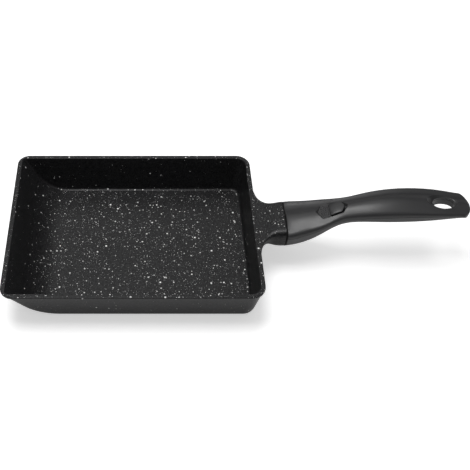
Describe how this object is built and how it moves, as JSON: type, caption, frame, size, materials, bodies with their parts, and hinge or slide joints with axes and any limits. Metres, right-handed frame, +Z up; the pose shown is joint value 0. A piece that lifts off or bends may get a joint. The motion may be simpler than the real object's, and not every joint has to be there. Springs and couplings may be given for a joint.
{
  "type": "tamagoyaki pan",
  "caption": "Rectangular rolled-omelette pan of speckled non-stick cast aluminium with a sloped far end and a detachable phenolic handle with a thumb release",
  "frame": {"origin": "on the flat face that stands on the hob, under the middle of the rim", "axes": "+X along the handle from the pan towards the butt, +Z up out of the mouth, +Y to the left of someone looking along +X"},
  "size_m": [0.3642, 0.1524, 0.0629],
  "materials": {
    "speckled_coating": "cast aluminium under a charcoal non-stick coating with pale speckles",
    "phenolic_handle": "moulded phenolic, satin",
    "phenolic_button": "moulded phenolic, smooth",
    "stainless_sheet": "folded and turned stainless steel",
    "spring_steel": "spring steel wire and strip",
    "zinc_plated_steel": "zinc-plated steel",
    "brass_insert": "turned brass"
  },
  "bodies": {
    "pan": {"pan_body": "speckled_coating", "handle_upper_shell": "phenolic_handle", "handle_lower_shell": "phenolic_handle", "latch_frame": "stainless_sheet", "latch_pin": "stainless_sheet", "pin_clip": "spring_steel", "latch_spring": "spring_steel", "shell_screws": "zinc_plated_steel", "threaded_inserts": "brass_insert"},
    "button": {"release_button": "phenolic_button"},
    "latch": {"latch_lever": "stainless_sheet"}
  },
  "joints": [
    {"name": "button_press", "type": "slide", "parent": "pan", "child": "button", "axis": [0.3256, 0, -0.9455], "range_m": [0, 0.0017], "stiffness_N_per_m": 600, "springref_m": -0.003},
    {"name": "latch_swing", "type": "hinge", "parent": "pan", "child": "latch", "pos_m": [0.14993, 0, 0.0405], "axis": [0, 1, 0], "range_deg": [0, 8.43], "deforming": ["latch_spring"]}
  ],
  "couplings": [
    {"joint": "latch_swing", "follows": "button_press", "rad_per_m": 86.47}
  ]
}
